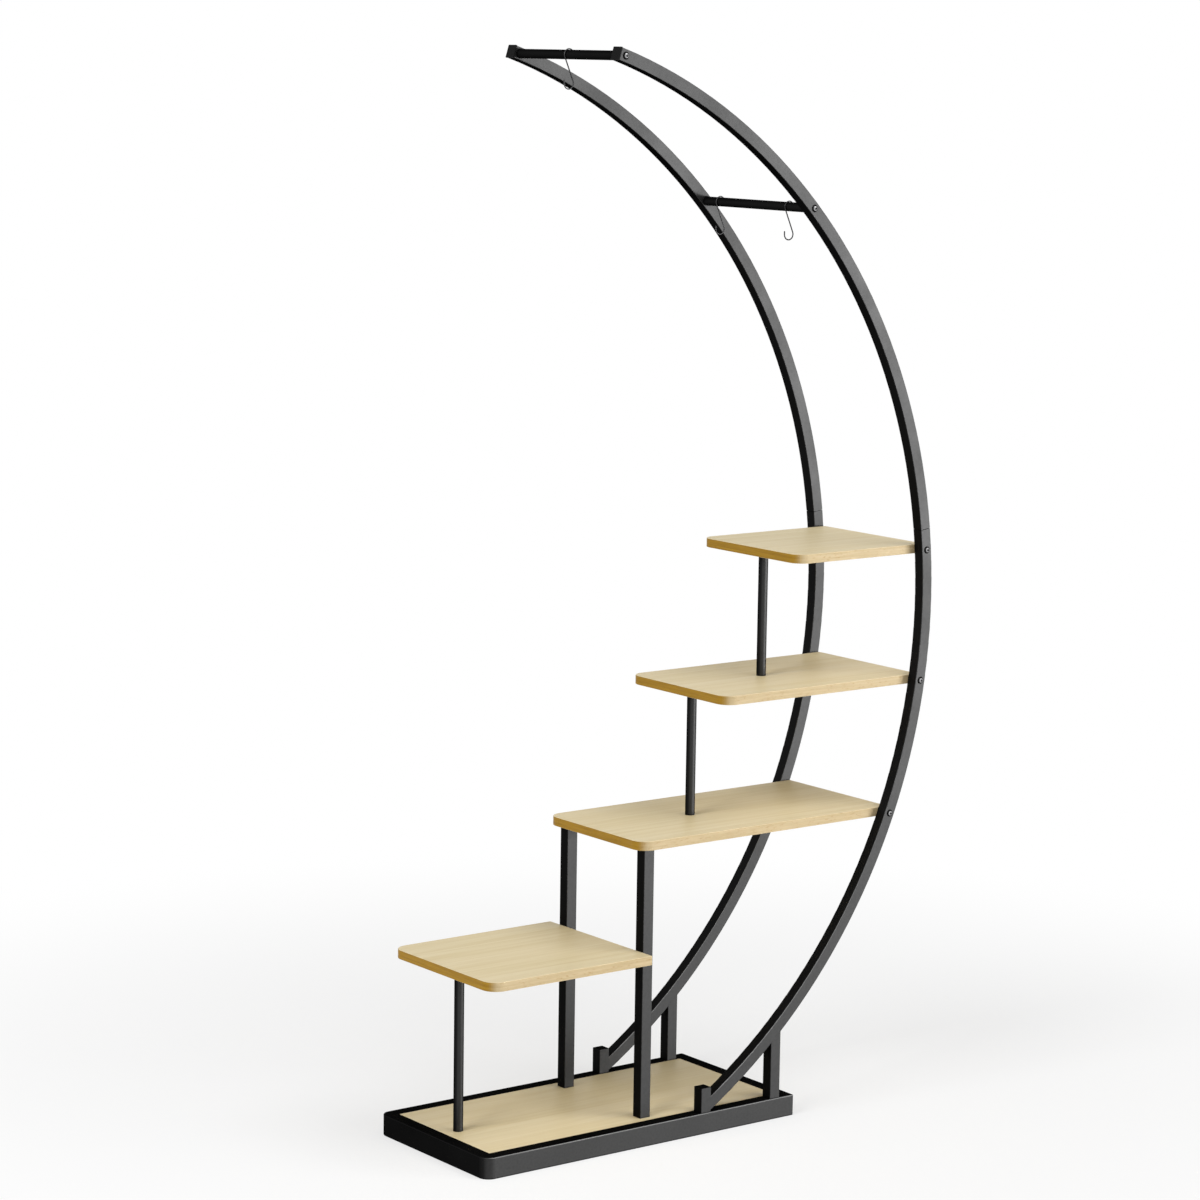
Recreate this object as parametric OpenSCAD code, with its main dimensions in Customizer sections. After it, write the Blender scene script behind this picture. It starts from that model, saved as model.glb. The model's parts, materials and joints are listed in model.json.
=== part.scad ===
// Tiered half-moon plant stand. A shallow tray stands on the floor. Two parallel
// bowed square tubes rise from it and arch back over it, four boards climb the
// inside of the bow on posts, and two round bars between the bows carry three
// S-shaped hooks. X runs along the tray, Y goes from front to back, Z is up.
// The origin lies on the floor in the middle of the footprint.

/* [Tray] */
// Length of the tray along the floor
tray_l = 625; // [610:5:660]
// Depth of the tray, front to back
tray_d = 300; // [280:5:340]
// Height of the tray's rim
tray_h = 35; // [33:1:45]
// Width of the rim seen from above
rim_w = 23; // [22:1:28]
// Wall of the rim's tube
rim_wall = 1.5; // [1.2:0.1:2]
// Radius of the rim's outer corners at the left end
rim_corner_r = 18; // [10:1:22]
// Radius of the rim's outer corners at the right end, below the bows
rim_end_corner_r = 3; // [2:0.5:4]
// Rounding along the rim's outer top and bottom edges
rim_edge_r = 1.5; // [0.8:0.1:2]
// Gap between the tray board and the rim
tray_board_gap = 0.4; // [0.2:0.1:0.8]
// How far the tray board lies below the top of the rim
tray_board_drop = 0.5; // [0:0.1:2]
// Width of the flat bars welded across under the tray board
crossbar_w = 30; // [20:1:40]
// Thickness of those flat bars
crossbar_t = 4; // [3:0.5:5]
// Distance of the last flat bar from the right end of the tray
last_crossbar_inset = 85; // [60:5:120]

/* [Bows] */
// Overall length of the stand, out to the back of the bows
reach = 903; // [890:1:920]
// Radius of the bows, to the middle of the tube
bow_r = 936.5; // [925:0.5:945]
// Height of the bows' centre above the floor
bow_z = 845.5; // [840:0.5:852]
// Width of the square tube that the bows are bent from
bow_w = 20; // [18:0.5:22]
// Wall of that tube
bow_wall = 1.5; // [1.2:0.1:2]
// Rounding of the square tubes' long edges
tube_edge_r = 1; // [0.8:0.1:2]
// Distance of each bow from the front or back of the tray
bow_inset = 2; // [1.5:0.1:4]
// Direction of the bows' top end, seen from their centre
top_angle = 72.8; // [68:0.1:76]
// Direction of the splice between the lower and the upper tube
splice_angle = 7.25; // [6.4:0.05:7.5]
// Open line at the splice
splice_gap = 1; // [0.2:0.1:1.4]
// Length of the sleeve on either side of the splice
sleeve_reach = 60; // [50:5:90]
// Wall of the sleeve
sleeve_wall = 1.5; // [1.2:0.1:2]
// Gap between the sleeve or a cap's plug and the tube round it
slip_gap = 0.2; // [0.1:0.05:0.3]
// Height of the lower end of the bow above the rim
bow_foot_lift = 3; // [1:0.5:6]
// Width of the upright stub that the bow ends on
stub_w = 20; // [18:0.5:22]
// Height of the stub above the bow that meets it
stub_rise = 14.8; // [8:0.2:24]
// Wall of the stub and of its top plate
stub_wall = 2; // [1.2:0.1:2.5]
// Width of the upright strut below the bow
strut_w = 20; // [18:0.5:22]
// Distance of the strut from the right end of the tray
strut_inset = 29.5; // [22:0.5:44]
// Depth of the threaded plug in the foot of the stub and the strut
foot_plug_h = 12; // [8:1:14]
// Thickness of the head of an end cap
cap_t = 2; // [1.5:0.1:3]
// How far the head of an end cap stands out round the tube
cap_lip = 0.5; // [0.2:0.1:1]
// Depth of the plug of an end cap
cap_plug_h = 4; // [3:0.5:4.5]

/* [Boards] */
// Thickness of all boards
board_t = 15; // [13:1:17]
// Rounding along the edges of a board
board_edge_r = 0.8; // [0.4:0.1:1]
// Radius of the corners at a board's free end
board_corner_r = 25; // [15:1:32]
// Radius of the corners at a board's bolted end
board_end_corner_r = 2; // [2:0.5:4]
// Top of the highest board above the floor
shelf_1_top = 936; // [930:1:940]
// Height from one board on the bows to the next
shelf_pitch = 220; // [216:1:224]
// Length of the highest board
shelf_1_l = 275; // [255:1:300]
// Length of the second board
shelf_2_l = 415; // [400:1:430]
// Length of the third board
shelf_3_l = 521; // [510:1:535]
// How far a board on the bows goes on past its bolts
shelf_end_past_bolt = 13; // [11:0.5:13.5]
// Top of the low left board above the floor
shelf_4_top = 311; // [280:1:340]
// Depth of the low left board, front to back
shelf_4_d = 278; // [260:2:290]
// Distance of the low left board's free end from the left end of the tray
shelf_4_inset = 15.5; // [6:0.5:20]

/* [Posts] */
// Width of the two square posts
post_w = 20; // [18:0.5:22]
// Distance of the square posts from the left end of the tray
post_x = 331.5; // [326:0.5:340]
// Distance of the square posts from the front or back of the tray
post_inset = 36.5; // [34:0.5:60]
// Wall of the square posts
post_wall = 1.5; // [1.2:0.1:2]
// Diameter of the round posts
rod_d = 16; // [13:0.5:18]
// Wall of the round posts and the bars
rod_wall = 1.5; // [1:0.1:2]
// Distance of the two upper round posts from the free end of their board
rod_setback = 32; // [28:1:45]
// Distance of the low round post from the free end of its board
low_rod_setback = 36; // [33:0.5:60]
// Depth of the threaded plugs in the ends of posts and bars
plug_h = 16; // [12:1:20]

/* [Bars and hooks] */
// Diameter of the two bars between the bows
bar_d = 15; // [12:0.5:16]
// Distance of the top bar's bolts from the top end of the bows' tubes
bar_1_setback = 10; // [9:0.5:14]
// Direction of the second bar, seen from the centre of the bows
bar_2_angle = 44.25; // [40:0.05:50]
// Thickness of the hooks' wire
wire_d = 2; // [1.6:0.2:3]
// Gap all round the bar inside a hook's upper loop
hook_play = 0.4; // [0.3:0.1:1.2]
// Height from the middle of a hook's upper loop to that of its lower loop
hook_drop = 44.4; // [36:0.4:60]
// How much thinner the wire is in the bends than in the straight stretches
bend_thinning = 0.04; // [0.02:0.01:0.1]
// Length of the straight tip of a hook's upper loop
hook_upper_tip = 1; // [0.5:0.5:2]
// Length of the straight tip of a hook's lower loop
hook_lower_tip = 4.5; // [1:0.5:8]
// Distance of the top bar's hook from the front of the tray
hook_top_y = 148; // [60:1:240]
// Distance of the second bar's front hook from the front of the tray
hook_front_y = 65.5; // [45:0.5:110]
// Distance of the second bar's back hook from the back of the tray
hook_back_inset = 57.5; // [45:0.5:110]

/* [Fasteners] */
// Diameter of all bolts and studs
bolt_d = 6; // [5:0.5:6]
// Diameter of a bolt's button head
head_d = 12; // [10:0.5:12.5]
// Height of a bolt's button head
head_h = 3.3; // [2.8:0.1:3.3]
// Width of the hexagon socket across its flats
socket_w = 4; // [3:0.5:5]
// Depth of the hexagon socket
socket_h = 1.8; // [1.2:0.1:2]
// Gap round a bolt in a clearance hole
bolt_play = 0.3; // [0.2:0.1:0.5]
// Gap round a thread in a nut or a threaded plug
thread_play = 0.1; // [0.05:0.05:0.2]
// How far a bolt through a tube reaches into what it holds
bolt_bite = 25; // [20:1:28]
// How far a bolt from below reaches into the foot of a post
foot_bite = 20; // [14:1:22]
// Reach of the short bolts from the rim into the stubs and struts
rim_bolt_bite = 10; // [8:1:14]
// Length of a stud inside its post
stud_in_post = 14; // [10:1:18]
// Length of a stud inside its board
stud_in_board = 9; // [7:0.5:10]
// Diameter of the threaded inserts in the boards
insert_d = 9; // [8:0.5:10]
// Length of the threaded inserts
insert_l = 9.5; // [8:0.5:10]
// Gap between a board's hole and what is pressed into it
insert_gap = 0.05; // [0.02:0.01:0.1]
// Room left beyond the tip of a bolt or stud in a board
tip_room = 1.5; // [1:0.5:2.5]
// Width of the access holes under the rim
access_d = 14; // [13:0.5:16]

/* [Hidden] */
$fn = 64;
bow_fn = 360;
loop_fn = 48;
wire_fn = 32;
steel_black = [0.13, 0.13, 0.135];
plastic_black = [0.05, 0.05, 0.05];
bolt_steel = [0.42, 0.42, 0.44];
brass = [0.70, 0.58, 0.32];
wood = [0.86, 0.76, 0.55];
cut_over = 1;
wire_lap = 0.4;
weld_depth = rim_wall / 2;

mid_y = tray_d / 2;
bow_r_out = bow_r + bow_w / 2;
bow_r_in = bow_r - bow_w / 2;
bow_x = reach - bow_r_out;
bow_y = [bow_inset + bow_w / 2, tray_d - bow_inset - bow_w / 2];
inner_y = bow_inset + bow_w;
inner_d = tray_d - 2 * inner_y;
splice_half = to_angle(splice_gap / 2);

// The bow reaches down to just above the rim, where the stub takes it.
stub_x1 = bow_x + sqrt(bow_r_out ^ 2 - (bow_z - tray_h - bow_foot_lift) ^ 2);
stub_top = bow_z - sqrt(bow_r_in ^ 2 - (stub_x1 - bow_x) ^ 2) + stub_rise;
bow_foot_angle = -acos((stub_x1 - stub_w - bow_x) / bow_r_out);
strut_x = tray_l - strut_inset - strut_w;
strut_top = bow_z - sqrt(bow_r_out ^ 2 - (strut_x + strut_w - bow_x) ^ 2) + bow_w;
foot_x = [stub_x1 - stub_w / 2, strut_x + strut_w / 2];

shelf_top = [for (i = [0:2]) shelf_1_top - i * shelf_pitch];
shelf_mid = [for (top = shelf_top) top - board_t / 2];
shelf_bolt_x = [for (z = shelf_mid) bow_x + sqrt(bow_r ^ 2 - (z - bow_z) ^ 2)];
shelf_x1 = [for (x = shelf_bolt_x) x + shelf_end_past_bolt];
shelf_l = [shelf_1_l, shelf_2_l, shelf_3_l];
shelf_x0 = [for (i = [0:2]) shelf_x1[i] - shelf_l[i]];
shelf_4_mid = shelf_4_top - board_t / 2;

tray_board_top = tray_h - tray_board_drop;
tray_board_z = tray_board_top - board_t;
crossbar_z = tray_board_z - crossbar_t;

post_y = [post_inset + post_w / 2, tray_d - post_inset - post_w / 2];
post_mid_x = post_x + post_w / 2;
post_top = shelf_top[2] - board_t;
low_rod_x = shelf_4_inset + low_rod_setback;
rod_1_x = shelf_x0[0] + rod_setback;
rod_2_x = shelf_x0[1] + rod_setback;
crossbar_x = [low_rod_x, post_mid_x, tray_l - last_crossbar_inset];

bar_1_angle = top_angle - to_angle(bar_1_setback);
bar_at = [for (a = [bar_1_angle, bar_2_angle])
    [bow_x + bow_r * cos(a), bow_z + bow_r * sin(a)]];

hook_r = bar_d / 2 + hook_play + wire_d / 2;
hook_lean = acos(hook_r / (hook_drop / 2));
hook_stem = 2 * sqrt((hook_drop / 2) ^ 2 - hook_r ^ 2);
hook_ys = [hook_top_y, hook_front_y, tray_d - hook_back_inset];

bolt_hole_d = bolt_d + 2 * bolt_play;
thread_d = bolt_d + 2 * thread_play;
foot_bolt_l = crossbar_t + board_t + foot_bite;

// Bolts that clamp the boards and bars between the bows, as [x, z].
bow_bolt_at = concat([for (i = [0:2]) [shelf_bolt_x[i], shelf_mid[i]]], bar_at);
// Feet held by a bolt from below, as [x, y, top of what they stand on].
foot_at = [
    [low_rod_x, mid_y, tray_board_top],
    [post_mid_x, post_y[0], tray_board_top],
    [post_mid_x, post_y[1], tray_board_top],
    [rod_1_x, mid_y, shelf_top[1]],
    [rod_2_x, mid_y, shelf_top[2]]
];
// Tops of the posts, as [x, y, underside of the board above].
head_at = [
    [low_rod_x, mid_y, shelf_4_top - board_t],
    [post_mid_x, post_y[0], post_top],
    [post_mid_x, post_y[1], post_top],
    [rod_1_x, mid_y, shelf_top[0] - board_t],
    [rod_2_x, mid_y, shelf_top[1] - board_t]
];

// Angle at the bows' centre that a length along the tube takes up.
function to_angle(len) = len / bow_r * 180 / PI;

// Moves a piece from the tray's front left corner to the part's own origin.
module in_place() translate([-reach / 2, -mid_y, 0]) children();

// Turns a shape drawn in the XY plane upright, so that it faces the front.
module upright(at, y) translate([at[0], y, at[1]]) rotate([90, 0, 0]) children();

// Square with rounded corners, centred.
module round_square(w, r) {
    square([w, w - 2 * r], center = true);
    square([w - 2 * r, w], center = true);
    for (x = [-1, 1], y = [-1, 1])
        translate([x * (w / 2 - r), y * (w / 2 - r)]) circle(r);
}

// Rectangle whose four corners are rounded, with one corner at the origin.
module round_rect(l, h, r) {
    translate([r, 0]) square([l - 2 * r, h]);
    translate([0, r]) square([l, h - 2 * r]);
    for (x = [r, l - r], y = [r, h - r]) translate([x, y]) circle(r);
}

// The outer half of such a rectangle, for revolving round the Z axis.
module edge_profile(l, h, r) {
    square([l - r, h]);
    translate([0, r]) square([l, h - 2 * r]);
    for (y = [r, h - r]) translate([l - r, y]) circle(r);
}

// Vertical round hole or rod that starts at z and rises by h.
module up(at, z, h, d) translate([at[0], at[1], z]) cylinder(d = d, h = h);

// Round hole or rod along Y, from y to y + len.
module along(at, y, len, d)
    translate([at[0], y, at[1]]) rotate([-90, 0, 0]) cylinder(d = d, h = len);

// A stretch of bow, solid, between two angles.
module bow_stretch(from, to, w, r, y)
    upright([bow_x, bow_z], y)
        rotate_extrude(angle = to - from, start = from, $fn = bow_fn)
            translate([bow_r, 0])
                if (r > 0) round_square(w, r); else square(w, center = true);

// Everything within radius r of the bows' centre.
module inside_bow(y, r)
    upright([bow_x, bow_z], y + bow_w) cylinder(r = r, h = 2 * bow_w, $fn = bow_fn);

// The two holes for each bolt that crosses a bow.
module bow_holes(list, y)
    for (at = list) along(at, y - bow_w / 2 - cut_over, bow_w + 2 * cut_over, bolt_hole_d);

// Upright square tube, solid outside.
module square_bar(x, y, z0, z1, w, r)
    translate([x, y, z0]) linear_extrude(z1 - z0) round_square(w, r);

// Lower half of a bow with its stub and strut welded on.
module lower_bow(y) {
    stub_at = [foot_x[0], y];
    strut_at = [foot_x[1], y];
    difference() {
        union() {
            difference() {
                bow_stretch(bow_foot_angle, splice_angle - splice_half, bow_w, tube_edge_r, y);
                translate([0, y - bow_w, 0]) cube([stub_x1 - stub_wall / 2, 2 * bow_w, bow_z]);
            }
            square_bar(stub_at[0], y, tray_h, stub_top, stub_w, tube_edge_r);
            difference() {
                square_bar(strut_at[0], y, tray_h, strut_top, strut_w, tube_edge_r);
                inside_bow(y, bow_r_out - bow_wall / 2);
            }
        }
        difference() {
            bow_stretch(bow_foot_angle, splice_angle + splice_half, bow_w - 2 * bow_wall, 0, y);
            translate([0, y - bow_w, 0]) cube([stub_x1, 2 * bow_w, bow_z]);
        }
        translate([stub_at[0], y, tray_h + foot_plug_h])
            linear_extrude(stub_top - stub_wall - tray_h - foot_plug_h)
                square(stub_w - 2 * stub_wall, center = true);
        difference() {
            translate([strut_at[0], y, tray_h + foot_plug_h])
                linear_extrude(strut_top - tray_h - foot_plug_h)
                    square(strut_w - 2 * stub_wall, center = true);
            inside_bow(y, bow_r_out);
        }
        for (at = [stub_at, strut_at])
            up(at, tray_h - cut_over, foot_plug_h + 2 * cut_over, thread_d);
        bow_holes([for (i = [0:2]) bow_bolt_at[i]], y);
    }
}

// Upper half of a bow: one long bent tube, open at both ends.
module upper_bow(y)
    difference() {
        bow_stretch(splice_angle + splice_half, top_angle, bow_w, tube_edge_r, y);
        bow_stretch(splice_angle, top_angle + splice_half, bow_w - 2 * bow_wall, 0, y);
        bow_holes(bar_at, y);
    }

// Bent sleeve inside the splice, crossed by the top board's bolt.
module splice_sleeve(y) {
    half = to_angle(sleeve_reach);
    sleeve_w = bow_w - 2 * bow_wall - 2 * slip_gap;
    difference() {
        bow_stretch(splice_angle - half, splice_angle + half, sleeve_w, 0, y);
        bow_stretch(splice_angle - half - splice_half, splice_angle + half + splice_half,
            sleeve_w - 2 * sleeve_wall, 0, y);
        bow_holes([bow_bolt_at[0]], y);
    }
}

// Push-in cap on the top end of a bow.
module bow_cap(y) {
    plug_w = bow_w - 2 * bow_wall - 2 * slip_gap;
    head_w = bow_w + 2 * cap_lip;
    upright([bow_x, bow_z], y) rotate([0, 0, top_angle]) translate([bow_r, 0, 0]) {
        rotate([-90, 0, 0]) linear_extrude(cap_t) round_square(head_w, tube_edge_r);
        translate([-plug_w / 2, -cap_plug_h, -plug_w / 2]) cube([plug_w, cap_plug_h, plug_w]);
    }
}

// Board with eased edges whose left corners are rounded, from [x, y] at height z.
module board(x, y, z, l, d) {
    r = board_corner_r;
    end_r = board_end_corner_r;
    translate([x, y, z]) {
        translate([r, 0, 0]) rotate([90, 0, 90]) linear_extrude(l - r - end_r)
            round_rect(d, board_t, board_edge_r);
        translate([0, d - r, 0]) rotate([90, 0, 0]) linear_extrude(d - 2 * r)
            round_rect(l, board_t, board_edge_r);
        translate([l - r, d - end_r, 0]) rotate([90, 0, 0]) linear_extrude(d - 2 * end_r)
            round_rect(r, board_t, board_edge_r);
        for (y_at = [r, d - r]) translate([r, y_at, 0])
            rotate_extrude() edge_profile(r, board_t, board_edge_r);
        for (y_at = [end_r, d - end_r]) translate([l - end_r, y_at, 0])
            rotate_extrude() edge_profile(end_r, board_t, board_edge_r);
    }
}

// Threaded insert, pointing along +Z from its open end.
module insert()
    difference() {
        cylinder(d = insert_d, h = insert_l);
        translate([0, 0, -cut_over]) cylinder(d = thread_d, h = insert_l + 2 * cut_over);
    }

// Hole in a board that takes an insert and the tip of its bolt or stud.
module insert_hole(reach_in) {
    translate([0, 0, -cut_over]) {
        cylinder(d = insert_d + 2 * insert_gap, h = insert_l + cut_over);
        cylinder(d = bolt_hole_d, h = reach_in + tip_room + cut_over);
    }
}

// Places its children at both edges of the boards on the bows, pointing inwards.
module at_board_edges(list) {
    for (at = list) {
        translate([at[0], inner_y, at[1]]) rotate([-90, 0, 0]) children();
        translate([at[0], tray_d - inner_y, at[1]]) rotate([90, 0, 0]) children();
    }
}

// Places its children at the end of the low board, pointing to the left.
module at_low_board_end(x)
    for (y = post_y) translate([x, y, shelf_4_mid]) rotate([0, -90, 0]) children();

// Board on the bows: i counts down from the highest.
module bow_shelf(i, heads, feet) {
    z = shelf_top[i] - board_t;
    difference() {
        board(shelf_x0[i], inner_y, z, shelf_l[i], inner_d);
        at_board_edges([bow_bolt_at[i]]) insert_hole(bolt_bite);
        for (at = heads) translate(at) insert_hole(stud_in_board);
        for (at = feet) up(at, z - cut_over, board_t + 2 * cut_over, bolt_hole_d);
    }
}

// Post between two heights: a tube with a threaded plug at each end.
module post(at, z0, z1, w, wall, round_post) {
    hollow = w - 2 * wall;
    difference() {
        if (round_post) up(at, z0, z1 - z0, w);
        else square_bar(at[0], at[1], z0, z1, w, tube_edge_r);
        if (round_post) up(at, z0 + plug_h, z1 - z0 - 2 * plug_h, hollow);
        else translate([at[0], at[1], z0 + plug_h])
            linear_extrude(z1 - z0 - 2 * plug_h) square(hollow, center = true);
        up(at, z0 - cut_over, z1 - z0 + 2 * cut_over, thread_d);
    }
}

// Square post with the cross hole for the low board's bolt.
module square_post(i)
    difference() {
        post([post_mid_x, post_y[i]], tray_board_top, post_top, post_w, post_wall, false);
        translate([post_x - cut_over, post_y[i], shelf_4_mid]) rotate([0, 90, 0])
            cylinder(d = bolt_hole_d, h = post_w + 2 * cut_over);
    }

// Round bar between the bows, with a threaded plug at each end.
module bar(at)
    difference() {
        along(at, inner_y, inner_d, bar_d);
        along(at, inner_y + plug_h, inner_d - 2 * plug_h, bar_d - 2 * rod_wall);
        along(at, inner_y - cut_over, inner_d + 2 * cut_over, thread_d);
    }

// Button-head bolt: the head sits on z = 0 and the shank goes down by len.
module bolt(len) {
    dome_r = (head_h ^ 2 + (head_d / 2) ^ 2) / (2 * head_h);
    difference() {
        union() {
            intersection() {
                translate([0, 0, head_h - dome_r]) sphere(dome_r);
                cylinder(r = head_d, h = head_h + cut_over);
            }
            translate([0, 0, -len]) cylinder(d = bolt_d, h = len + head_h / 2);
        }
        translate([0, 0, head_h - socket_h])
            cylinder(d = socket_w / cos(30), h = socket_h + cut_over, $fn = 6);
    }
}

// A hook's loop with its straight, rounded tip, drawn round the origin.
module hook_loop(tip) {
    rotate([90, 0, 0]) rotate_extrude(angle = 270 - hook_lean, $fn = loop_fn)
        translate([hook_r, 0]) circle(d = wire_d - bend_thinning, $fn = wire_fn);
    translate([hook_r, 0, -tip]) rotate_extrude($fn = wire_fn) {
        square([wire_d / 2, tip + wire_lap]);
        intersection() {
            circle(d = wire_d, $fn = wire_fn);
            translate([0, -wire_d]) square(2 * wire_d);
        }
    }
}

// S-shaped hook hanging from a bar's axis at the given place.
module hook(at, y)
    translate([at[0], y, at[1]]) {
        hook_loop(hook_upper_tip);
        rotate([0, hook_lean - 90, 0]) translate([-hook_r, 0, -hook_stem - wire_lap])
            cylinder(d = wire_d, h = hook_stem + 2 * wire_lap, $fn = wire_fn);
        translate([0, 0, -hook_drop]) rotate([0, 180, 0]) hook_loop(hook_lower_tip);
    }

module tray_frame() color(steel_black) in_place() {
    r = rim_corner_r;
    end_r = rim_end_corner_r;
    wall = rim_wall;
    difference() {
        union() {
            difference() {
                union() {
                    for (y = [r, tray_d - r]) translate([r, y, 0])
                        rotate_extrude() edge_profile(r, tray_h, rim_edge_r);
                    for (y = [end_r, tray_d - end_r]) translate([tray_l - end_r, y, 0])
                        rotate_extrude() edge_profile(end_r, tray_h, rim_edge_r);
                    translate([r, 0, 0]) rotate([90, 0, 90])
                        linear_extrude(tray_l - r - end_r) round_rect(tray_d, tray_h, rim_edge_r);
                    translate([0, tray_d - r, 0]) rotate([90, 0, 0])
                        linear_extrude(tray_d - 2 * r) round_rect(tray_l, tray_h, rim_edge_r);
                    translate([tray_l - r, tray_d - end_r, 0]) rotate([90, 0, 0])
                        linear_extrude(tray_d - 2 * end_r) round_rect(r, tray_h, rim_edge_r);
                }
                translate([rim_w, rim_w, -cut_over])
                    cube([tray_l - 2 * rim_w, tray_d - 2 * rim_w, tray_h + 2 * cut_over]);
            }
            for (x = crossbar_x)
                translate([x - crossbar_w / 2, rim_w - weld_depth, crossbar_z])
                    cube([crossbar_w, tray_d - 2 * rim_w + 2 * weld_depth, crossbar_t]);
        }
        difference() {
            translate([wall, wall, wall]) linear_extrude(tray_h - 2 * wall) {
                translate([r - wall, 0]) square([tray_l - r - wall, tray_d - 2 * wall]);
                translate([0, r - wall]) square([r, tray_d - 2 * r]);
                for (y = [r - wall, tray_d - r - wall]) translate([r - wall, y]) circle(r - wall);
            }
            translate([rim_w - wall, rim_w - wall, 0])
                cube([tray_l - 2 * rim_w + 2 * wall, tray_d - 2 * rim_w + 2 * wall, tray_h]);
        }
        for (x = foot_x, y = bow_y) {
            up([x, y], -cut_over, rim_wall + 2 * cut_over, access_d);
            up([x, y], tray_h - rim_wall - cut_over, rim_wall + 2 * cut_over, bolt_hole_d);
        }
        for (i = [0:2]) up(foot_at[i], crossbar_z - cut_over, crossbar_t + 2 * cut_over, bolt_hole_d);
    }
}

module tray_board() color(wood) in_place() {
    edge = rim_w + tray_board_gap;
    difference() {
        translate([edge, edge, tray_board_z])
            cube([tray_l - 2 * edge, tray_d - 2 * edge, board_t]);
        for (i = [0:2]) up(foot_at[i], tray_board_z - cut_over, board_t + 2 * cut_over, bolt_hole_d);
    }
}

module lower_bow_front() color(steel_black) in_place() lower_bow(bow_y[0]);
module lower_bow_back() color(steel_black) in_place() lower_bow(bow_y[1]);
module upper_bow_front() color(steel_black) in_place() upper_bow(bow_y[0]);
module upper_bow_back() color(steel_black) in_place() upper_bow(bow_y[1]);
module splice_sleeves() color(steel_black) in_place() for (y = bow_y) splice_sleeve(y);
module bow_caps() color(plastic_black) in_place() for (y = bow_y) bow_cap(y);

module shelf_1() color(wood) in_place() bow_shelf(0, [head_at[3]], []);
module shelf_2() color(wood) in_place() bow_shelf(1, [head_at[4]], [foot_at[3]]);
module shelf_3() color(wood) in_place() bow_shelf(2, [head_at[1], head_at[2]], [foot_at[4]]);

module shelf_4() color(wood) in_place()
    difference() {
        board(shelf_4_inset, mid_y - shelf_4_d / 2, shelf_4_top - board_t,
            post_x - shelf_4_inset, shelf_4_d);
        at_low_board_end(post_x) insert_hole(bolt_bite);
        translate(head_at[0]) insert_hole(stud_in_board);
    }

module post_front() color(steel_black) in_place() square_post(0);
module post_back() color(steel_black) in_place() square_post(1);
module low_rod() color(steel_black) in_place()
    post(foot_at[0], tray_board_top, shelf_4_top - board_t, rod_d, rod_wall, true);
module rod_1() color(steel_black) in_place()
    post(foot_at[3], shelf_top[1], shelf_top[0] - board_t, rod_d, rod_wall, true);
module rod_2() color(steel_black) in_place()
    post(foot_at[4], shelf_top[2], shelf_top[1] - board_t, rod_d, rod_wall, true);
module bar_1() color(steel_black) in_place() bar(bar_at[0]);
module bar_2() color(steel_black) in_place() bar(bar_at[1]);

module bow_bolts() color(bolt_steel) in_place() {
    for (at = bow_bolt_at) {
        translate([at[0], bow_inset, at[1]]) rotate([90, 0, 0]) bolt(bow_w + bolt_bite);
        translate([at[0], tray_d - bow_inset, at[1]]) rotate([-90, 0, 0]) bolt(bow_w + bolt_bite);
    }
    for (y = post_y) translate([post_x + post_w, y, shelf_4_mid])
        rotate([0, 90, 0]) bolt(post_w + bolt_bite);
}

module foot_bolts() color(bolt_steel) in_place() {
    for (i = [0:2]) translate([foot_at[i][0], foot_at[i][1], crossbar_z])
        rotate([180, 0, 0]) bolt(foot_bolt_l);
    for (i = [3, 4]) translate([foot_at[i][0], foot_at[i][1], foot_at[i][2] - board_t])
        rotate([180, 0, 0]) bolt(foot_bolt_l);
}

module rim_bolts() color(bolt_steel) in_place()
    for (x = foot_x, y = bow_y) translate([x, y, tray_h - rim_wall])
        rotate([180, 0, 0]) bolt(rim_wall + rim_bolt_bite);

module post_studs() color(bolt_steel) in_place()
    for (at = head_at) up(at, at[2] - stud_in_post, stud_in_post + stud_in_board, bolt_d);

module board_inserts() color(brass) in_place() {
    at_board_edges([for (i = [0:2]) bow_bolt_at[i]]) insert();
    at_low_board_end(post_x) insert();
    for (at = head_at) translate(at) insert();
}

module hook_top() color(steel_black) in_place() hook(bar_at[0], hook_ys[0]);
module hook_front() color(steel_black) in_place() hook(bar_at[1], hook_ys[1]);
module hook_back() color(steel_black) in_place() hook(bar_at[1], hook_ys[2]);

tray_frame();
tray_board();
lower_bow_front();
lower_bow_back();
upper_bow_front();
upper_bow_back();
splice_sleeves();
bow_caps();
shelf_1();
shelf_2();
shelf_3();
shelf_4();
post_front();
post_back();
low_rod();
rod_1();
rod_2();
bar_1();
bar_2();
bow_bolts();
foot_bolts();
rim_bolts();
post_studs();
board_inserts();
hook_top();
hook_front();
hook_back();
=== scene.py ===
"""Looks of the tiered half-moon plant stand, in metres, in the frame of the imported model.

Every visible shape is a CAD node. The script gives each node the finish of its slot, and adds
the floor, the lights and the photograph's camera.
"""
import json
import math

import bpy
from mathutils import Matrix, Vector

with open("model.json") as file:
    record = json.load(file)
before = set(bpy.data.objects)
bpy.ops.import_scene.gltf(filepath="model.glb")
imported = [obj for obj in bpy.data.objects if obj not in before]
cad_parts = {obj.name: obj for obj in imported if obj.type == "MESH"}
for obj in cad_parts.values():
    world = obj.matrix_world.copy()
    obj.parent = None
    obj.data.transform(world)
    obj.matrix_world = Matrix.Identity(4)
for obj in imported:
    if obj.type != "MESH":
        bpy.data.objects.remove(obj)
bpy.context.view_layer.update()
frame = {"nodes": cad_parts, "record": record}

MM = 0.001

# The photograph's camera: its place, how far it is turned from +Y to the right, down and about
# its own axis in radians, and its focal length in picture widths.
CAMERA_PLACE = (-3.5830, -4.5708, 1.7588)
CAMERA_YAW = 0.6468
CAMERA_PITCH = 0.1538
CAMERA_ROLL = 0.0146
FOCAL_WIDTHS = 3.0053
SENSOR_MM = 36.0

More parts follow.
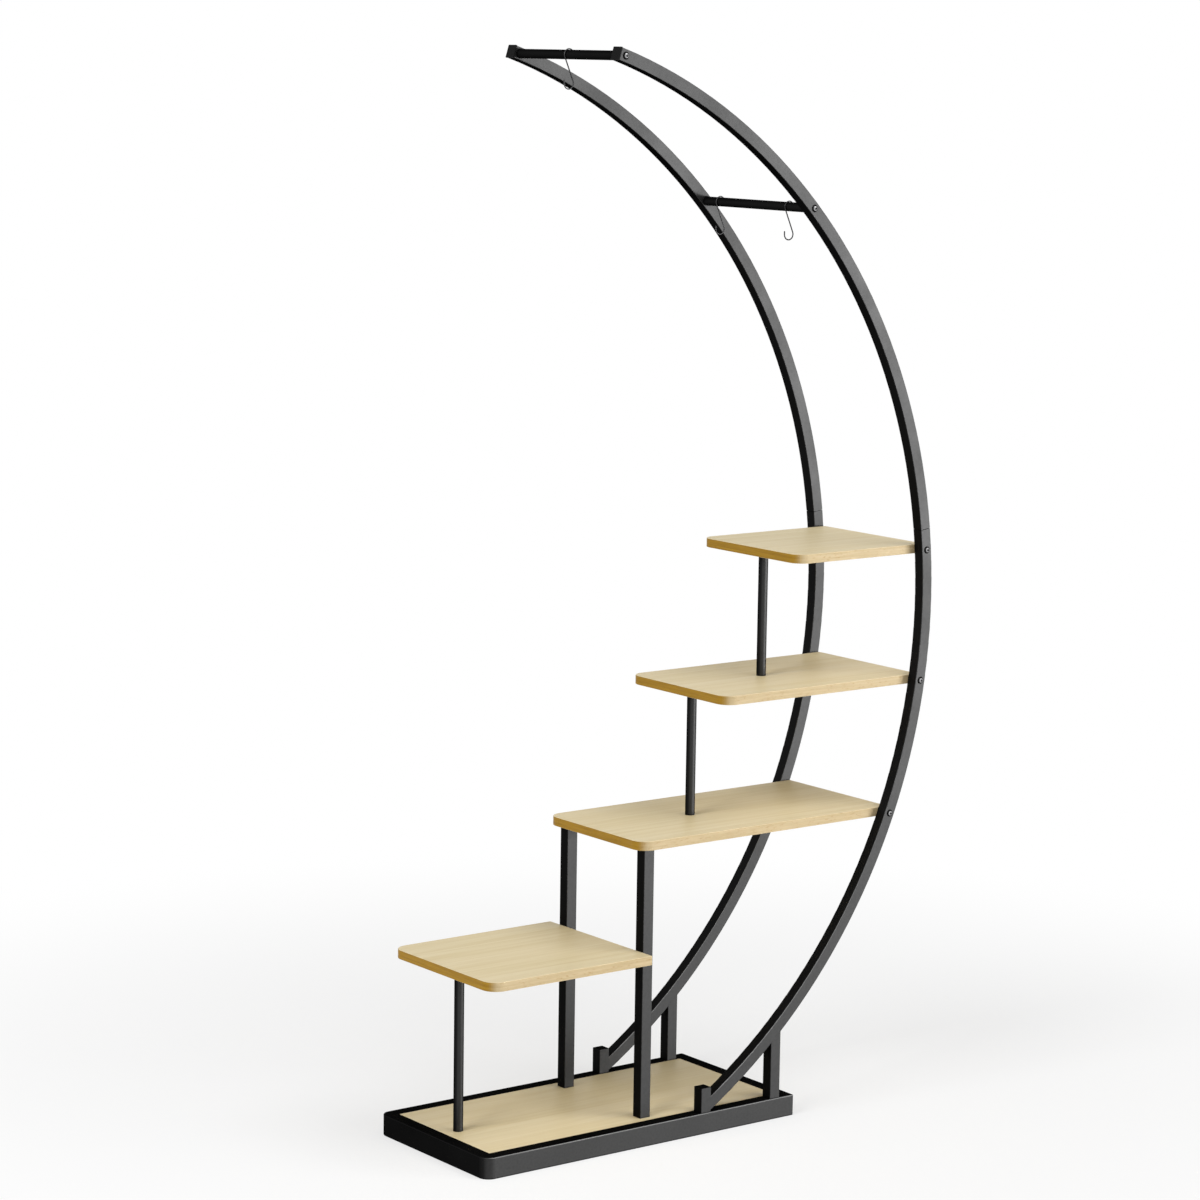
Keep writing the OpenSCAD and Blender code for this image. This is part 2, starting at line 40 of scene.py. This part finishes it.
# Floor: the radius of the disc and its number of corners, how far from the middle its real
# surface starts and ends to fade into the white background, and the share of white before that.
FLOOR_RADIUS = 30.0
FLOOR_CORNERS = 64
FADE_START, FADE_END = 0.6, 2.0
WHITE_NEAR = 0.6

# Softboxes: place of the middle, what they face, width and height, and power in watts.
SOFTBOXES = {
    "key": ((4.7, -5.8, 0.58), (0.0, 0.0, 0.58), (3.4, 1.15), 530.0),
    "overhead": ((1.0, -2.3, 4.6), (0.0, 0.0, 0.5), (3.0, 3.0), 98.0),
    "left": ((-3.94, -0.69, 3.4), (0.0, 0.0, 0.5), (2.4, 1.8), 138.0),
}
# Strength of the white world where it lights the stand. Where it is seen, it is 1.
WORLD_LIGHT = 0.2

# Sockets of a Mix node that blends colours.
MIX_A, MIX_B, MIX_RESULT = 6, 7, 2

# Rays for each rounded normal and each look into a gap.
BEVEL_SAMPLES = 6
OPENNESS_SAMPLES = 8

# How far the rounded normal agrees with the flat one on a flat face and on a corner.
AGREE_FLAT, AGREE_CORNER = 0.97, 0.78

# Nearly all values of a noise lie between these.
NOISE_LOW, NOISE_HIGH = 0.3, 0.7


class Material:
    """One new material, with short calls that add and join its nodes."""

    def __init__(self, name):
        self.block = bpy.data.materials.new(name)
        self.block.use_nodes = True
        self.tree = self.block.node_tree
        self.tree.nodes.clear()

    def add(self, kind, sockets=None, **settings):
        """Adds a node. Each of its sockets gets a constant, or the output that feeds it."""
        node = self.tree.nodes.new("ShaderNode" + kind)
        for key, value in settings.items():
            setattr(node, key, value)
        for key, value in (sockets or {}).items():
            if isinstance(value, bpy.types.NodeSocket):
                self.tree.links.new(value, node.inputs[key])
            else:
                node.inputs[key].default_value = value
        return node

    def place(self):
        """Where a point lies on the resting stand."""
        return self.add("TexCoord").outputs["Object"]

    def parts(self, vector):
        return self.add("SeparateXYZ", {"Vector": vector}).outputs[:]

    def normal(self, kind="Normal"):
        """The X, Y and Z parts of the direction that the surface looks in."""
        return self.parts(self.add("NewGeometry").outputs[kind])

    def math(self, operation, a, b=0.0):
        return self.add("Math", {0: a, 1: b}, operation=operation).outputs[0]

    def times(self, a, b):
        return self.math("MULTIPLY", a, b)

    def size(self, value):
        return self.math("ABSOLUTE", value)

    def noise(self, place, per_metre, detail=2.0, rough=0.5, warp=0.0):
        """Noise with about per_metre waves in a metre."""
        sockets = {"Vector": place, "Scale": per_metre, "Detail": detail, "Roughness": rough,
                   "Distortion": warp}
        return self.add("TexNoise", sockets).outputs["Fac"]

    def streaks(self, place, per_metre, **settings):
        """Noise with its own number of waves in a metre along X, Y and Z."""
        stretched = self.add("Mapping", {"Vector": place, "Scale": per_metre}).outputs[0]
        return self.noise(stretched, 1.0, **settings)

    def remap(self, value, low, high, to_low=0.0, to_high=1.0, smooth=False):
        """Takes low to high over to to_low to to_high, and holds it level beyond them."""
        sockets = {"Value": value, "From Min": low, "From Max": high,
                   "To Min": to_low, "To Max": to_high}
        curve = "SMOOTHSTEP" if smooth else "LINEAR"
        return self.add("MapRange", sockets, clamp=True, interpolation_type=curve).outputs[0]

    def share(self, value, none, full, most=1.0, smooth=False):
        """0 where the value is at none, growing to most where it is at full."""
        return self.remap(value, none, full, to_high=most, smooth=smooth)

    def roughness(self, noise, least, most):
        return self.remap(noise, NOISE_LOW, NOISE_HIGH, least, most)

    def blend(self, share, a, b):
        """Colour a where share is 0 and b where it is 1."""
        sockets = {0: share, MIX_A: a, MIX_B: b}
        return self.add("Mix", sockets, data_type="RGBA").outputs[MIX_RESULT]

    def bump(self, height, depth, strength, on=None):
        """Normal of a surface with this relief, on top of the normal on where there is one."""
        sockets = {"Height": height, "Distance": depth, "Strength": strength}
        if on is not None:
            sockets["Normal"] = on
        return self.add("Bump", sockets).outputs[0]

    def edge(self, radius):
        """How sharp an outer edge is near the point: 0 on a flat face, up to 1 on a corner."""
        rounded = self.add("Bevel", {"Radius": radius}, samples=BEVEL_SAMPLES).outputs[0]
        flat = self.add("NewGeometry").outputs["Normal"]
        compare = self.add("VectorMath", {0: rounded, 1: flat}, operation="DOT_PRODUCT")
        return self.share(compare.outputs["Value"], none=AGREE_FLAT, full=AGREE_CORNER)

    def openness(self, reach):
        """How open the place round the point is: 1 in the open, towards 0 in a gap or a recess."""
        look = self.add("AmbientOcclusion", {"Distance": reach}, samples=OPENNESS_SAMPLES)
        return look.outputs["AO"]

    def finish(self, **sockets):
        """Ends the material in one Principled shader, and hands it over."""
        named = {key.replace("_", " "): value for key, value in sockets.items()}
        shader = self.add("BsdfPrincipled", named)
        self.add("OutputMaterial", {"Surface": shader.outputs[0]})
        return self.block


def colour(red, green, blue):
    return (red, green, blue, 1.0)


def grey(level):
    return colour(level, level, level)


def black_steel():
    """Fine-grained black powder coat: deep black sides and darker gaps as painted shade, a greyer
    lit front and back.
    """
    # Painted light: the darker side tones are painted shade, and the greyer front tones are a lit
    # copy of the same coat.
    painted_shade_side_tones, painted_shade_side_speck = (grey(0.0125), grey(0.015)), grey(0.022)
    painted_light_front_tones, painted_light_front_peel, painted_light_front_speck = (grey(0.035), grey(0.0445)), grey(0.026), grey(0.052)
    rubbed_tone, rubbed_share, rubbed_gloss = grey(0.06), 0.5, 0.12
    # The crest tone is a painted highlight, and the gap tone is painted shade.
    painted_highlight_tone, painted_shade_tone = grey(0.13), grey(0.008)

    m = Material("powder_coat")
    place = m.place()
    clouds = m.noise(place, per_metre=11.0, detail=3.0)
    peel = m.noise(place, per_metre=260.0, detail=1.0)
    grain = m.noise(place, per_metre=1500.0, rough=0.6)
    nx, ny, nz = m.normal()
    # Painted light: all of it on faces that look to the front or the back, which take the lit copy
    # of the coat; the sides keep its painted shade.
    painted_light_front_share = m.share(m.size(ny), none=0.42, full=0.80, smooth=True)
    # Painted highlight: all of it along the rounded upper front of what runs level from left to
    # right.
    painted_highlight_share = m.share(m.times(m.times(ny, -1.0), nz), none=0.1, full=0.4)
    painted_highlight_share = m.times(painted_highlight_share, m.share(m.size(nx), none=0.5, full=0.2))
    # Patches along the edges where the coat is rubbed.
    edge = m.edge(radius=1.2 * MM)
    patches = m.share(m.noise(place, per_metre=70.0, detail=3.0), none=0.42, full=0.68)
    rubbed = m.times(edge, patches)

    specks = m.share(grain, none=0.62, full=0.75, most=0.6)
    # Painted shade: the darker copy of the coat for the sides; below it, the lighter lit copy for
    # the front and back.
    deep = m.blend(clouds, *painted_shade_side_tones)
    deep = m.blend(specks, deep, painted_shade_side_speck)
    front = m.blend(clouds, *painted_light_front_tones)
    front = m.blend(m.share(peel, none=0.42, full=0.66, most=0.25), front, painted_light_front_peel)
    front = m.blend(specks, front, painted_light_front_speck)
    coat = m.blend(painted_light_front_share, deep, front)
    coat = m.blend(m.times(rubbed, rubbed_share), coat, rubbed_tone)
    coat = m.blend(painted_highlight_share, coat, painted_highlight_tone)
    # Painted shade: the coat turns near black in gaps, recesses and round what stands on it, where
    # less light reaches.
    clear_of_painted_shade = m.share(m.openness(reach=3.5 * MM), none=0.35, full=0.93)
    coat = m.blend(clear_of_painted_shade, painted_shade_tone, coat)

    rough = m.roughness(clouds, least=0.46, most=0.54)
    rough = m.math("SUBTRACT", rough, m.times(rubbed, rubbed_gloss))
    fine = m.bump(grain, depth=0.03 * MM, strength=0.3)
    normal = m.bump(peel, depth=0.05 * MM, strength=0.3, on=fine)
    return m.finish(Base_Color=coat, Roughness=rough, Normal=normal, Metallic=1.0,
                    Specular_Tint=grey(0.0))


def board_wood():
    """Pale maple-like board: figured faces and banded edges, with deep honey left ends that are
    partly end grain and partly painted shade.
    """
    face_tones = colour(0.75, 0.64, 0.405), colour(0.69, 0.57, 0.33)
    drift_tone, fibre_tone = colour(0.78, 0.66, 0.44), colour(0.54, 0.39, 0.21)
    edge_tones = colour(0.485, 0.38, 0.222), colour(0.41, 0.314, 0.166)
    painted_shade_honey_tones = colour(0.40, 0.225, 0.022), colour(0.29, 0.155, 0.012)
    fleck_tone, worn_tone = colour(0.30, 0.17, 0.045), colour(0.80, 0.69, 0.50)

    m = Material("pale_wood")
    place = m.place()
    nx, _, nz = m.normal("True Normal")
    # All of it on the edges all round, and on the left ends alone, where the honey tones are
    # partly painted shade.
    on_edge = m.share(m.size(nz), none=0.75, full=0.35, smooth=True)
    painted_shade_left_share = m.share(nx, none=-0.45, full=-0.95, smooth=True)

    drift = m.streaks(place, (1.6, 9.0, 3.0), detail=3.0)
    figure = m.streaks(place, (2.2, 75.0, 60.0), detail=4.0, rough=0.55, warp=0.9)
    fibre = m.streaks(place, (25.0, 900.0, 700.0))
    band = m.streaks(place, (9.0, 9.0, 330.0), detail=4.0, rough=0.6, warp=0.5)
    flecks = m.streaks(place, (120.0, 120.0, 520.0), rough=0.6)

    face = m.blend(m.share(figure, none=0.35, full=0.68), *face_tones)
    face = m.blend(m.share(drift, none=0.35, full=0.7, most=0.5), face, drift_tone)
    face = m.blend(m.share(fibre, none=0.60, full=0.75, most=0.35), face, fibre_tone)
    front = m.blend(m.share(band, none=0.35, full=0.68), *edge_tones)
    # The left ends: deep honey end grain, darkened further as painted shade.
    left = m.blend(m.share(band, none=0.35, full=0.68), *painted_shade_honey_tones)
    rim = m.blend(painted_shade_left_share, front, left)
    rim = m.blend(m.share(flecks, none=0.58, full=0.72, most=0.55), rim, fleck_tone)
    wood = m.blend(on_edge, face, rim)
    edge = m.edge(radius=1.0 * MM)
    patches = m.share(m.noise(place, per_metre=45.0), none=0.45, full=0.7, most=0.35)
    wood = m.blend(m.times(edge, patches), wood, worn_tone)

    rough = m.roughness(figure, least=0.42, most=0.56)
    grown = m.bump(figure, depth=0.10 * MM, strength=0.5)
    normal = m.bump(fibre, depth=0.05 * MM, strength=0.5, on=grown)
    return m.finish(Base_Color=wood, Roughness=rough, Normal=normal, Specular_IOR_Level=0.15)


def bolt_steel():
    """Plated steel, with painted shade that leaves the crown of a head bright and turns its flank,
    its socket and round its foot black.
    """
    # The gap tone is painted shade.
    plated_tones, painted_shade_tone = (colour(0.52, 0.52, 0.525), colour(0.40, 0.40, 0.405)), grey(0.004)

    m = Material("plated_steel")
    place = m.place()
    tone = m.noise(place, per_metre=320.0, detail=3.0)
    marks = m.noise(place, per_metre=2600.0, rough=0.6)
    metal = m.blend(m.share(tone, none=0.35, full=0.7), *plated_tones)
    _, ny, _ = m.normal()
    # Painted shade: the flank that looks away from the bolt's axis, the socket and the foot turn
    # black, so the crown stands out.
    clear_of_painted_flank_shade = m.share(m.size(ny), none=0.80, full=0.94)
    clear_of_painted_shade = m.share(m.openness(reach=6.0 * MM), none=0.80, full=0.97)
    metal = m.blend(m.times(clear_of_painted_flank_shade, clear_of_painted_shade), painted_shade_tone, metal)
    rough = m.roughness(tone, least=0.30, most=0.40)
    normal = m.bump(marks, depth=0.02 * MM, strength=0.4)
    return m.finish(Base_Color=metal, Metallic=1.0, Roughness=rough, Normal=normal,
                    Specular_Tint=grey(0.1))


def cap_plastic():
    """Matt black moulded plastic with a fine spark grain."""
    m = Material("moulded_plastic")
    place = m.place()
    grain = m.noise(place, per_metre=1800.0)
    tone = m.blend(m.noise(place, per_metre=30.0), grey(0.007), grey(0.012))
    rough = m.roughness(grain, least=0.48, most=0.62)
    normal = m.bump(grain, depth=0.03 * MM, strength=0.5)
    return m.finish(Base_Color=tone, Roughness=rough, Normal=normal, Specular_IOR_Level=0.02)


def insert_brass():
    """Machined brass, a little dull between the marks."""
    m = Material("machined_brass")
    place = m.place()
    turned = m.streaks(place, (200.0, 200.0, 3000.0))
    metal = m.blend(turned, colour(0.72, 0.52, 0.22), colour(0.55, 0.38, 0.15))
    rough = m.roughness(turned, least=0.25, most=0.40)
    normal = m.bump(turned, depth=0.02 * MM, strength=0.4)
    return m.finish(Base_Color=metal, Metallic=1.0, Roughness=rough, Normal=normal)


def hook_wire():
    """Drawn steel wire with faint die marks and a dark plating."""
    wire_tones = colour(0.052, 0.052, 0.053), colour(0.036, 0.036, 0.037)

    m = Material("drawn_wire")
    place = m.place()
    drawn = m.streaks(place, (500.0, 2400.0, 500.0))
    tone = m.noise(place, per_metre=240.0, detail=3.0)
    metal = m.blend(m.share(tone, none=0.35, full=0.7), *wire_tones)
    rough = m.roughness(drawn, least=0.36, most=0.46)
    normal = m.bump(drawn, depth=0.01 * MM, strength=0.3)
    return m.finish(Base_Color=metal, Metallic=1.0, Roughness=rough, Normal=normal,
                    Specular_Tint=grey(0.1))


def dress_nodes():
    """Gives each CAD node the finish of the slot that the record names for it."""
    finishes = {make.__name__: make() for make in
                (black_steel, board_wood, bolt_steel, cap_plastic, insert_brass, hook_wire)}
    for part in frame["record"]["subparts"]:
        for slot in frame["nodes"][part["node"]].material_slots:
            slot.material = finishes[part["material_slot"]]


def seen(tree):
    """1 where the camera sees a point directly, in a reflection or through glass, 0 for light."""
    rays = tree.nodes.new("ShaderNodeLightPath").outputs
    largest = rays["Is Camera Ray"]
    for name in ("Is Glossy Ray", "Is Transmission Ray"):
        join = tree.nodes.new("ShaderNodeMath")
        join.operation = "MAXIMUM"
        tree.links.new(largest, join.inputs[0])
        tree.links.new(rays[name], join.inputs[1])
        largest = join.outputs[0]
    return largest


def floor_finish():
    """Pale matt floor that keeps the shadow near the stand and turns into the white background."""
    m = Material("pale_floor")
    place = m.place()
    mottled = m.blend(m.noise(place, per_metre=3.0, detail=3.0), grey(0.96), grey(0.98))
    matt = m.add("BsdfPrincipled",
                 {"Base Color": mottled, "Roughness": 0.8, "Specular IOR Level": 0.0})
    x, y, _ = m.parts(place)
    reach = m.math("SQRT", m.math("ADD", m.times(x, x), m.times(y, y)))
    far = m.remap(reach, FADE_START, FADE_END, to_low=WHITE_NEAR, smooth=True)
    white = m.add("Emission", {"Color": grey(1.0), "Strength": 1.0})
    share = m.times(far, seen(m.tree))
    mix = m.add("MixShader", {0: share, 1: matt.outputs[0], 2: white.outputs[0]})
    m.add("OutputMaterial", {"Surface": mix.outputs[0]})
    return m.block


def make_floor():
    """A large disc at floor level."""
    turns = [2 * math.pi * i / FLOOR_CORNERS for i in range(FLOOR_CORNERS)]
    ring = [(FLOOR_RADIUS * math.cos(turn), FLOOR_RADIUS * math.sin(turn), 0.0) for turn in turns]
    mesh = bpy.data.meshes.new("floor")
    mesh.from_pydata(ring, [], [tuple(range(FLOOR_CORNERS))])
    floor = bpy.data.objects.new("floor", mesh)
    bpy.context.scene.collection.objects.link(floor)
    mesh.materials.append(floor_finish())


def make_lights():
    """The softboxes, each turned to what it faces."""
    for name, (place, target, (width, height), power) in SOFTBOXES.items():
        light = bpy.data.lights.new(name, "AREA")
        light.shape, light.size, light.size_y, light.energy = "RECTANGLE", width, height, power
        lamp = bpy.data.objects.new(name, light)
        lamp.location = place
        lamp.rotation_mode = "QUATERNION"
        lamp.rotation_quaternion = (Vector(target) - Vector(place)).to_track_quat("-Z", "Y")
        bpy.context.scene.collection.objects.link(lamp)


def make_world():
    """White surroundings that are seen at full strength and light the stand softly."""
    world = bpy.data.worlds.new("studio")
    world.use_nodes = True
    tree = world.node_tree
    back = tree.nodes["Background"]
    back.inputs["Color"].default_value = grey(1.0)
    strength = tree.nodes.new("ShaderNodeMapRange")
    strength.inputs["To Min"].default_value = WORLD_LIGHT
    tree.links.new(seen(tree), strength.inputs["Value"])
    tree.links.new(strength.outputs[0], back.inputs["Strength"])
    bpy.context.scene.world = world


def make_camera():
    """The photograph's camera, fitted to the edges of the stand."""
    yaw, pitch, roll = CAMERA_YAW, CAMERA_PITCH, CAMERA_ROLL
    ahead = Vector((math.sin(yaw) * math.cos(pitch), math.cos(yaw) * math.cos(pitch),
                    -math.sin(pitch)))
    level = Vector((math.cos(yaw), -math.sin(yaw), 0.0))
    upright = level.cross(ahead)
    right = level * math.cos(roll) + upright * math.sin(roll)
    up = upright * math.cos(roll) - level * math.sin(roll)
    data = bpy.data.cameras.new("camera")
    data.sensor_width, data.lens = SENSOR_MM, SENSOR_MM * FOCAL_WIDTHS
    data.clip_end = 2 * FLOOR_RADIUS
    camera = bpy.data.objects.new("camera", data)
    turned = Matrix((right, up, -ahead)).transposed().to_4x4()
    camera.matrix_world = Matrix.Translation(CAMERA_PLACE) @ turned
    bpy.context.scene.collection.objects.link(camera)
    bpy.context.scene.camera = camera


make_camera()
dress_nodes()
make_floor()
make_lights()
make_world()
bpy.context.scene.view_settings.view_transform = "Standard"
